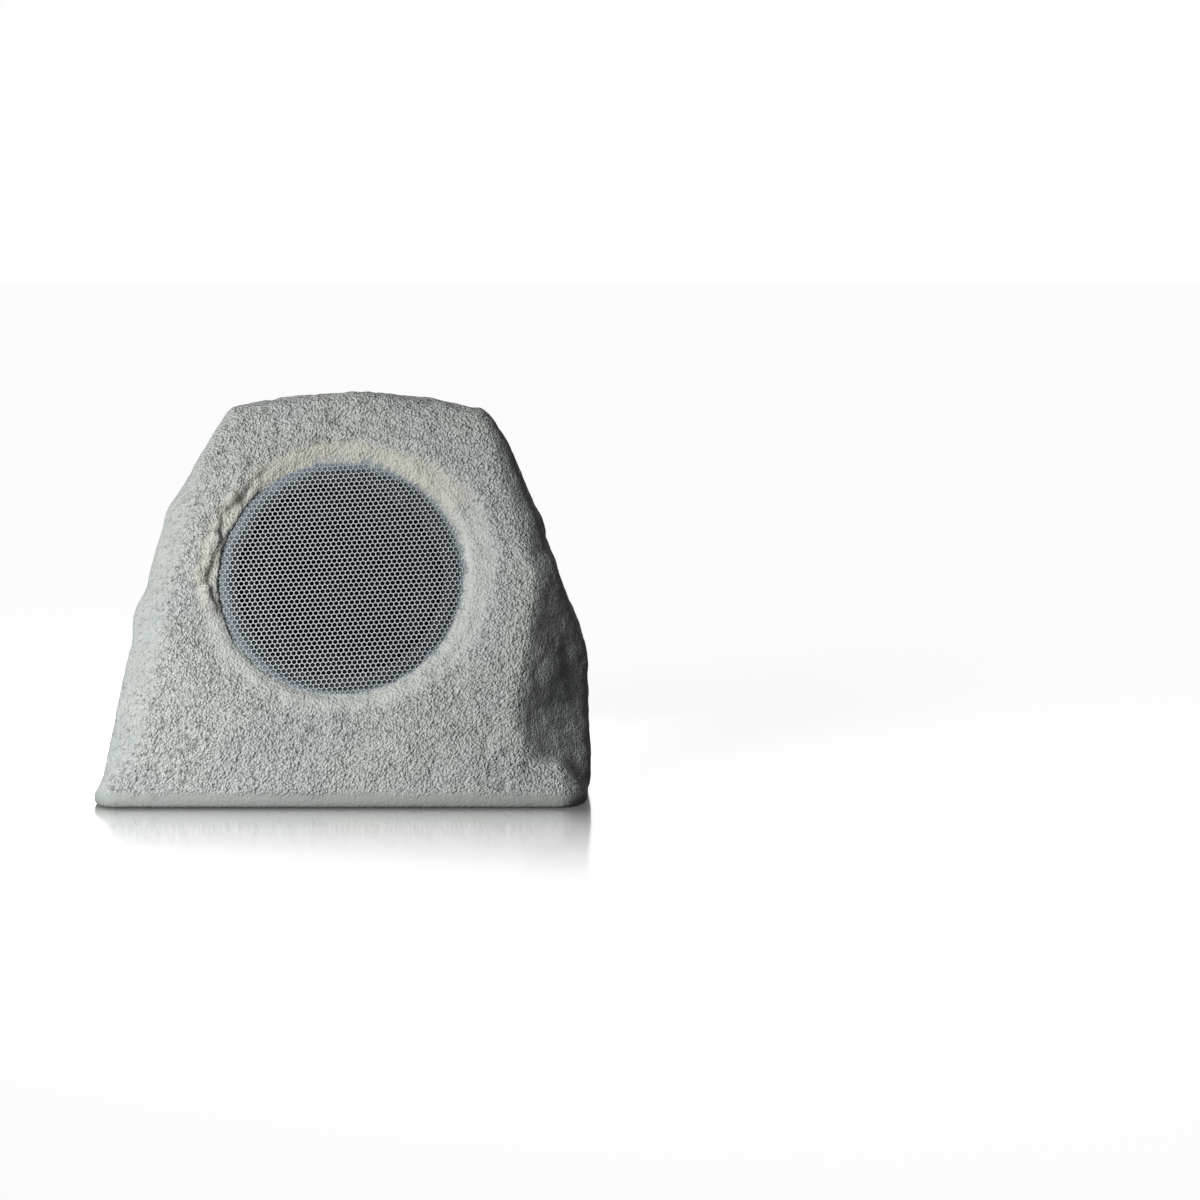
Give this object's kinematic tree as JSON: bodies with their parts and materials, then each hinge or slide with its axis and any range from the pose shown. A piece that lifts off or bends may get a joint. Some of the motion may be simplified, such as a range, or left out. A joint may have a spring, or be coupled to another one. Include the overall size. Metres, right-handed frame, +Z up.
{
  "type": "rock shaped garden speaker",
  "caption": "Faceted hollow rock with a leaning front face, a round perforated grille over a driver, and a control panel with buttons in the back.",
  "frame": {"origin": "on the ground under the middle of the base", "axes": "+Z up, the front face looks towards -Y, +X to the viewer's right"},
  "size_m": [0.254, 0.22, 0.2039],
  "materials": {
    "stone_coat": "stone-look moulded resin with a pitted, mottled paint",
    "mortar": "cream filler, smooth with sandy specks",
    "grille_steel": "perforated sheet with light blue-grey paint",
    "black_plastic": "fine moulded grain",
    "black_rubber": "matt",
    "screw_steel": "zinc plated",
    "basket_steel": "black paint",
    "cone_plastic": "moulded, satin",
    "former_aluminium": "thin sheet",
    "copper": "enamelled copper wire",
    "spider_cloth": "resin-treated cloth",
    "zinc_steel": "zinc plated",
    "ferrite": "ground ferrite",
    "board_green": "solder mask",
    "sink_aluminium": "extruded",
    "capacitor_sleeve": "shrink sleeve",
    "white_plastic": "moulded",
    "battery_wrap": "shrink wrap",
    "button_plastic": "satin",
    "lens_plastic": "clear light pipe",
    "socket_plastic": "moulded",
    "pin_brass": "turned",
    "cover_rubber": "satin",
    "lead_jacket": "flat jacketed lead"
  },
  "bodies": {
    "housing": {"rock_shell": "stone_coat", "grille_bead": "mortar", "grille": "grille_steel", "base_plate": "black_plastic", "base_seal": "black_rubber", "base_screws": "screw_steel", "driver_basket": "basket_steel", "driver_screws": "screw_steel", "surround": "black_rubber", "spider": "spider_cloth", "front_plate": "zinc_steel", "magnet": "ferrite", "yoke": "zinc_steel", "driver_terminals": "board_green", "amplifier_board": "board_green", "heat_sink": "sink_aluminium", "board_capacitors": "capacitor_sleeve", "board_connectors": "white_plastic", "battery_pack": "battery_wrap", "battery_strap": "black_plastic", "control_panel": "black_plastic", "panel_seal": "black_rubber", "panel_screws": "screw_steel", "control_board": "board_green", "button_switches": "white_plastic", "status_lens": "lens_plastic", "charge_socket": "socket_plastic", "charge_pin": "pin_brass", "cover_pin": "screw_steel", "speaker_lead": "lead_jacket", "battery_lead": "lead_jacket", "control_lead": "lead_jacket"},
    "cone_assembly": {"cone": "cone_plastic", "coil_former": "former_aluminium", "coil_winding": "copper"},
    "power_key": {"power_button": "button_plastic"},
    "link_key": {"link_button": "button_plastic"},
    "volume_down_key": {"volume_down_button": "button_plastic"},
    "volume_up_key": {"volume_up_button": "button_plastic"},
    "cover": {"socket_cover": "cover_rubber"}
  },
  "joints": [
    {"name": "cone_travel", "type": "slide", "parent": "housing", "child": "cone_assembly", "axis": [0, -0.8894, 0.4571], "range_m": [-0.003, 0.003], "stiffness_N_per_m": 1200, "deforming": ["surround", "spider"]},
    {"name": "power_press", "type": "slide", "parent": "housing", "child": "power_key", "axis": [0, -0.9563, -0.2924], "range_m": [0, 0.0009], "stiffness_N_per_m": 1500},
    {"name": "link_press", "type": "slide", "parent": "housing", "child": "link_key", "axis": [0, -0.9563, -0.2924], "range_m": [0, 0.0009], "stiffness_N_per_m": 1500},
    {"name": "volume_down_press", "type": "slide", "parent": "housing", "child": "volume_down_key", "axis": [0, -0.9563, -0.2924], "range_m": [0, 0.0009], "stiffness_N_per_m": 1500},
    {"name": "volume_up_press", "type": "slide", "parent": "housing", "child": "volume_up_key", "axis": [0, -0.9563, -0.2924], "range_m": [0, 0.0009], "stiffness_N_per_m": 1500},
    {"name": "cover_hinge", "type": "hinge", "parent": "housing", "child": "cover", "pos_m": [-0.036, 0.08876, 0.06997], "axis": [1, 0, 0], "range_deg": [0, 110]}
  ]
}
